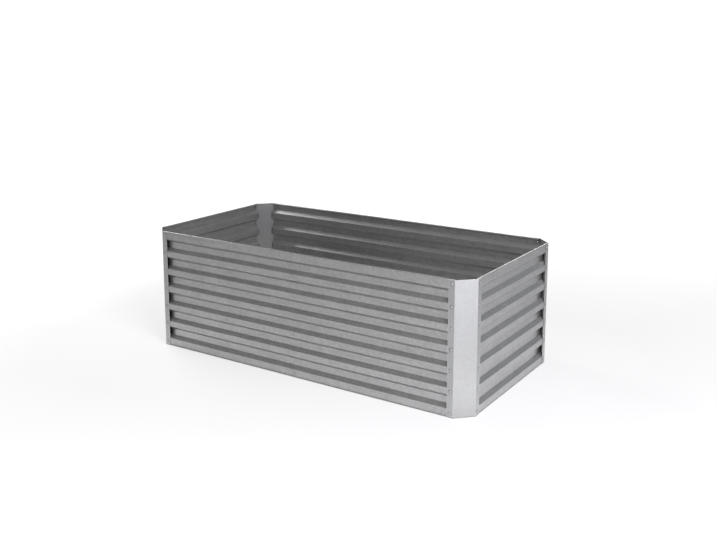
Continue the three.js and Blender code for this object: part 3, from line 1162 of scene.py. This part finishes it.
plating, tree, shader, where = new_material("zinc_plating")
powder = use_group(tree, coat_grain, Vector=where, Grain=0.0004, Cloud=0.004)
worn_and_highlit = use_group(tree, edge_wear_and_highlight, Vector=where, Width=0.0003, Amount=1.0)
dust = use_group(tree, settled_dust, Vector=where, Amount=0.12)
clouds = spread(tree, powder["Cloud"])
zinc = mixed_colours(tree, clouds, DULL_ZINC, BRIGHT_ZINC)
zinc = mixed_colours(tree, worn_and_highlit["Mask"], zinc, RUBBED_ZINC)
zinc = mixed_colours(tree, dust["Mask"], zinc, GREY_DUST)
feed(tree, shader.inputs["Base Color"], zinc)
feed(tree, shader.inputs["Roughness"], ranged(tree, clouds, 0.0, 1.0, 0.32, 0.44))
shader.inputs["Metallic"].default_value = 1.0
feed(tree, shader.inputs["Normal"], bump(tree, powder["Height"], PLATING_DEPTH))
finish_pieces(fasteners + rod_parts, plating)

# %% [markdown]
# ## Floor
#
# The bed stands in a white studio.  A plain white floor would light the undersides of the
# ribs too much, so what the camera sees of the floor is kept apart from the light that it
# throws.  The camera sees it nearly white, with only a soft shadow.  The bed sees a pale
# floor close by and a dark one further off.  Under the bed nothing glows, and the inside of
# the open box stays in shade.

# %% Lay the floor
FLOOR_SIZE = 30.0
FLOOR_DROP = 0.0005  # under the feet, so that the two don't fight

floor = fresh(
    "studio_floor", bpy.ops.mesh.primitive_plane_add, size=FLOOR_SIZE,
    location=(0, 0, -FLOOR_DROP),
)
settle(floor)
white, tree, shader, where = new_material("studio_white")
floor.data.materials.append(white)
print("The floor is", FLOOR_SIZE, "m wide")

# %% [markdown]
# The glow has to know how far a point of the floor is from the bed's outline.  The outline
# is the same in all four quarters, so the point is first folded into one of them.  Its
# distance is the largest of three: past the end, past the side and past the slanting face.

# %% Distance from the bed
FOOT_BLUR = 0.003

folded = vector_maths(tree, "ABSOLUTE", where)
quarter_place = add_node(tree, "ShaderNodeSeparateXYZ", Vector=folded)
past_end = maths(tree, "SUBTRACT", quarter_place.outputs["X"], HALF_LENGTH)
past_side = maths(tree, "SUBTRACT", quarter_place.outputs["Y"], HALF_WIDTH)
past_both = maths(tree, "ADD", maths(tree, "ADD", past_end, past_side), POST_CUT)
past_slant = maths(tree, "MULTIPLY", past_both, sqrt(0.5))
distance = maths(tree, "MAXIMUM", maths(tree, "MAXIMUM", past_end, past_side), past_slant)
outside = ranged(tree, distance, -FOOT_BLUR, 0.0, 0.0, 1.0)
print("The floor's glow starts at the bed's foot")

# %% [markdown]
# A slanting face stands right over the floor and mirrors it.  A photographer lays a white
# card there.  Here a round patch of the floor glows in front of the front right corner, and
# one more in front of the back left one, where X times Y is negative.

# %% Light that the floor throws
CARD_PLACE = (1.22, 0.60, 0.0)
CARD_RADIUS = 0.15
CARD_FADE = 0.45
CARD_GLOW = 0.64
NEAR_REACH = 0.25
FAR_REACH = 0.35
NEAR_GLOW = 0.23
FAR_GLOW = 0.02

from_card = vector_maths(tree, "DISTANCE", folded, CARD_PLACE)
card = ranged(tree, from_card, CARD_RADIUS, CARD_FADE, CARD_GLOW, 0.0)
signed = add_node(tree, "ShaderNodeSeparateXYZ", Vector=where)
product = maths(tree, "MULTIPLY", signed.outputs["X"], signed.outputs["Y"])
two_corners = maths(tree, "LESS_THAN", product, 0.0)
card_glow = maths(tree, "MULTIPLY", two_corners, card)
near_glow = ranged(tree, distance, NEAR_REACH, FAR_REACH, NEAR_GLOW, FAR_GLOW)
thrown = maths(tree, "ADD", card_glow, near_glow)
print("Cards at", CARD_PLACE[:2], "m from the middle, at two corners")

# %% [markdown]
# Light Path tells a ray from the camera from one that lights the bed.  For the camera the
# floor's own colour is darkened, so that the lamps don't blow it out, and a glow that grows
# with the distance lifts it to the white of the background.

# %% White that the camera sees
SEEN_NEAR = 0.575
SEEN_FAR = 1.0
SEEN_FROM = 0.6
SEEN_TO = 4.5
FLOOR_SHADE = 0.85
CAMERA_SHADE = 0.50

by_camera = add_node(tree, "ShaderNodeLightPath").outputs["Is Camera Ray"]
seen_white = ranged(tree, distance, SEEN_FROM, SEEN_TO, SEEN_NEAR, SEEN_FAR)
light = mixed(tree, "FLOAT", NUMBER_SOCKETS, by_camera, thrown, seen_white)
glow = maths(tree, "MULTIPLY", outside, light)
darker = maths(tree, "MULTIPLY", outside, maths(tree, "MULTIPLY", by_camera, CAMERA_SHADE))
feed(tree, shader.inputs["Base Color"], maths(tree, "SUBTRACT", FLOOR_SHADE, darker))
feed(tree, shader.inputs["Emission Strength"], glow)
shader.inputs["Emission Color"].default_value = (1.0, 1.0, 1.0, 1.0)
shader.inputs["Roughness"].default_value = 0.9
shader.inputs["Specular IOR Level"].default_value = 0.0
print("The floor looks white from", SEEN_TO, "m on")

# %% [markdown]
# ## Lamps
#
# A high softbox at the front right, the key, and a low strip beside it are mirrored in the
# slanting post, the brightest face of the bed.  Weak fills, one warm and one bluish, bring
# the front wall and the right end to their shades.  A rim light, a second key and two more
# fills stand behind the bed and to its left, so that its back and left end show as well.
# Spot lamps would give hard shadows; large soft areas fit a satin finish.

# %% Lamps
KEY_SIZE = (2.2, 1.6)
FILL_SIZE = (2.5, 2.0)
COOL = (0.95, 0.955, 1.0)
WARM = (1.0, 0.965, 0.94)
BLUISH = (0.68, 0.80, 1.0)
NEUTRAL = (1.0, 1.0, 1.0)


def softbox(name, azimuth, distance, height, size, power, colour):
    """A rectangular lamp that looks at the bed; azimuth runs from +X towards +Y."""
    angle = radians(azimuth)
    place = Vector((cos(angle) * distance, sin(angle) * distance, height))
    toward = Vector((0, 0, HEIGHT / 2)) - place
    bpy.ops.object.select_all(action="DESELECT")
    bpy.ops.object.light_add(type="AREA", location=place)
    lamp = bpy.context.object
    lamp.name = name
    lamp.rotation_euler = toward.to_track_quat("-Z", "Y").to_euler()
    lamp.data.shape = "RECTANGLE"
    lamp.data.size, lamp.data.size_y = size
    lamp.data.energy = power
    lamp.data.color = colour
    lamp.visible_camera = False
    return lamp


lamps = [
    softbox("key", -33, 3.6, 2.6, KEY_SIZE, 178, COOL),
    softbox("low_strip", -30, 3.0, 0.45, (2.0, 0.9), 8, COOL),
    softbox("front_fill", -85, 4.5, 1.4, FILL_SIZE, 14.5, WARM),
    softbox("right_fill", 60, 4.0, 1.4, FILL_SIZE, 4.0, BLUISH),
    softbox("rim_light", 109, 4.5, 1.7, (1.6, 0.9), 19, NEUTRAL),
    softbox("back_key", 170, 3.6, 2.6, KEY_SIZE, 102, NEUTRAL),
    softbox("left_fill", 196, 4.5, 1.4, FILL_SIZE, 10, NEUTRAL),
    softbox("back_fill", 95, 4.5, 1.5, FILL_SIZE, 18, NEUTRAL),
]
print("Lamps:", ", ".join(lamp.name for lamp in lamps))

# %% [markdown]
# The camera sees a white background, while the bed is lit by a dim grey one.  Light Path
# tells the two apart.  The Standard view leaves white as white, where a film-like one would
# grey it.

# %% Background
AIR_COLOUR = (1.0, 0.99, 0.98, 1.0)
AIR_LIGHT = 0.24

world = bpy.data.worlds.new("studio_air")
bpy.context.scene.world = world
world.use_nodes = True
tree = world.node_tree
tree.nodes.clear()
by_camera = add_node(tree, "ShaderNodeLightPath").outputs["Is Camera Ray"]
bright = add_node(tree, "ShaderNodeBackground", Color=(1.0, 1.0, 1.0, 1.0), Strength=1.0)
dim = add_node(tree, "ShaderNodeBackground", Color=AIR_COLOUR, Strength=AIR_LIGHT)
choice = add_node(tree, "ShaderNodeMixShader")
feed(tree, choice.inputs[0], by_camera)
feed(tree, choice.inputs[1], dim.outputs["Background"])
feed(tree, choice.inputs[2], bright.outputs["Background"])
add_node(tree, "ShaderNodeOutputWorld", Surface=choice.outputs["Shader"])
bpy.context.scene.view_settings.view_transform = "Standard"
print("Background set")
